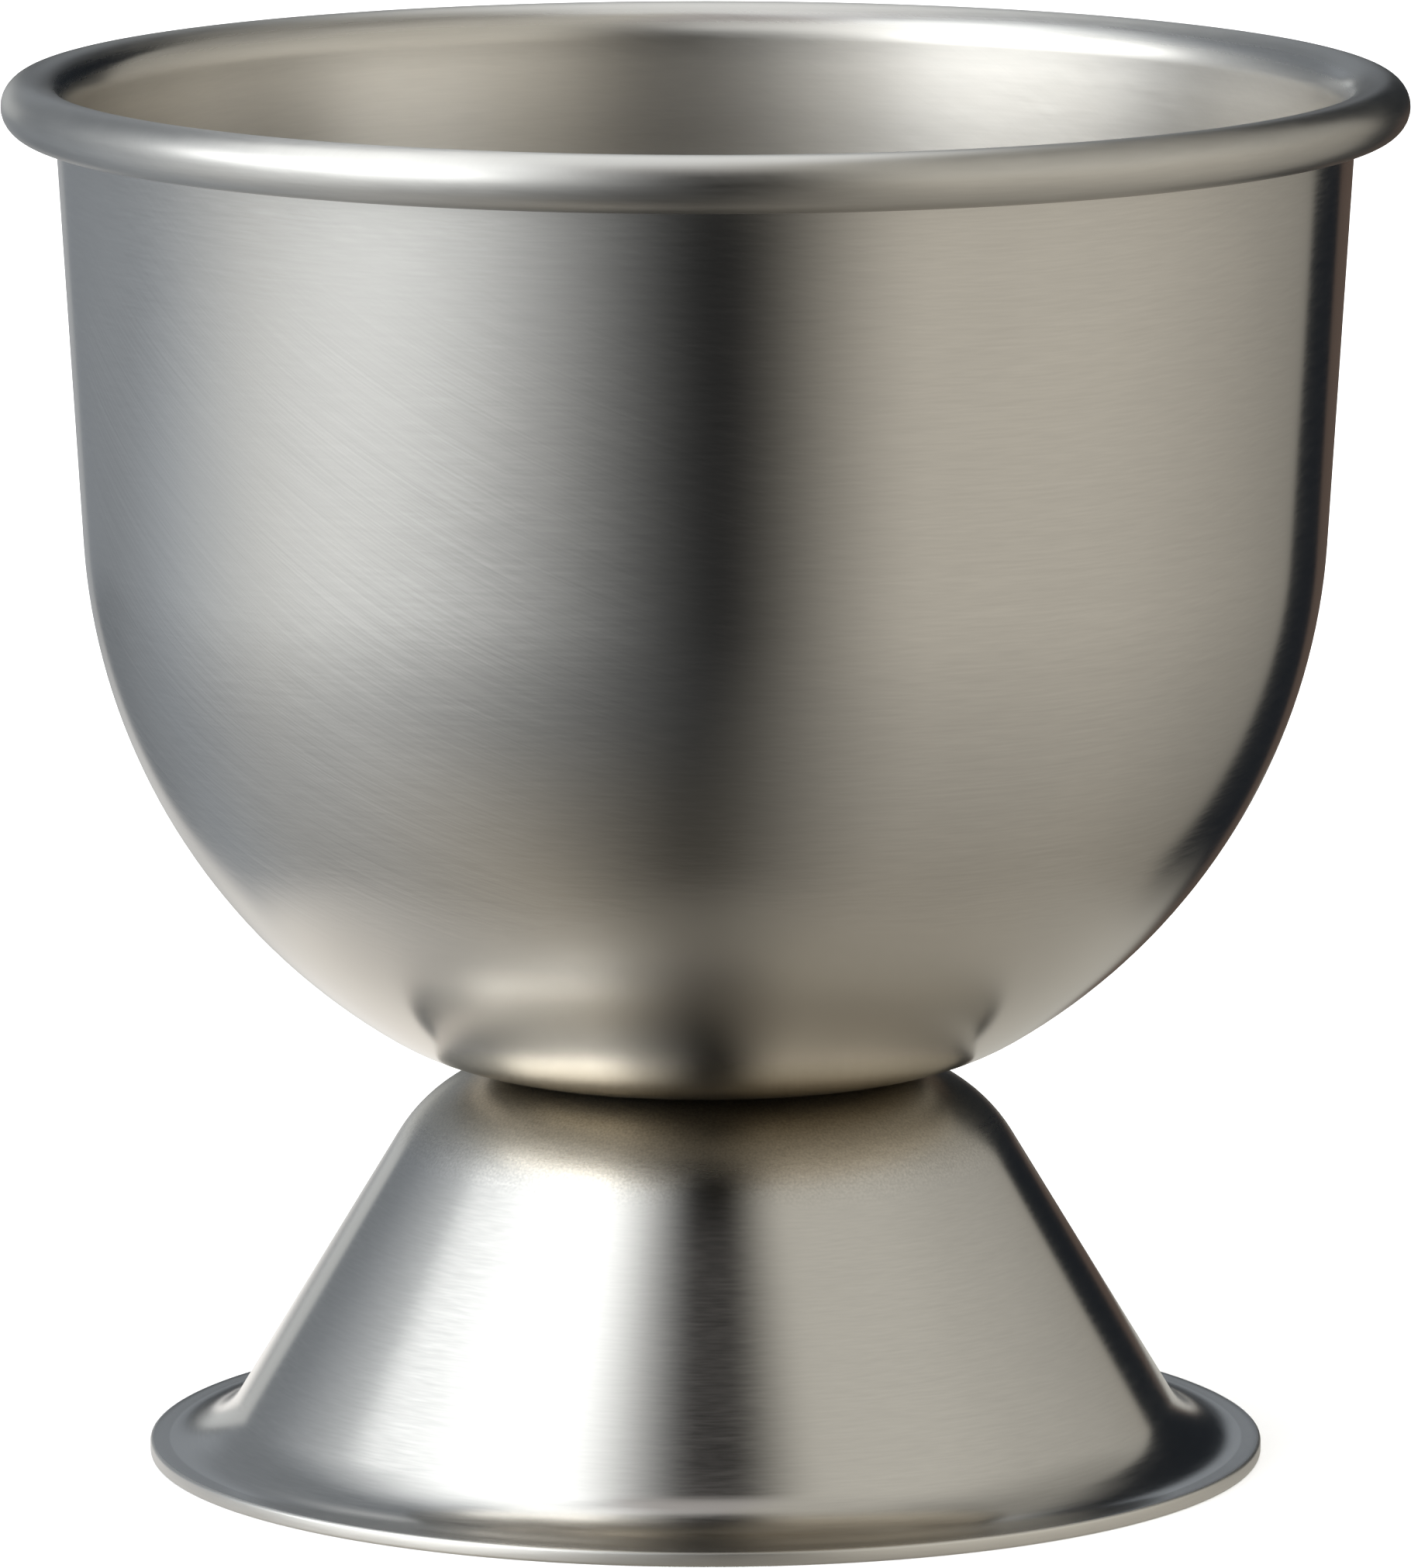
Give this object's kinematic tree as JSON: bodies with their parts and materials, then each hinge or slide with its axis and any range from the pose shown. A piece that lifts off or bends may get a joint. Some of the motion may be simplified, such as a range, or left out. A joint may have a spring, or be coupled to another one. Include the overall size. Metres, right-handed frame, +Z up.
{
  "type": "egg cup",
  "caption": "Brushed steel egg cup: a deep round bowl with a rolled rim, welded onto a hollow flared foot.",
  "frame": {"origin": "on the table, at the cup's axis", "axes": "+Z up along the cup's axis, towards the mouth; X and Y are alike on a round cup"},
  "size_m": [0.05, 0.05, 0.0497],
  "materials": {
    "bowl_steel": "satin stainless steel, fine brushing around the axis, with the rolled rim a little smoother",
    "foot_steel": "satin stainless steel, fine brushing around the axis, with a sheared edge at the base",
    "weld_steel": "fused weld metal, hidden between the two sheets"
  },
  "bodies": {
    "root": {"bowl": "bowl_steel", "foot": "foot_steel", "spot_welds": "weld_steel"}
  },
  "joints": []
}
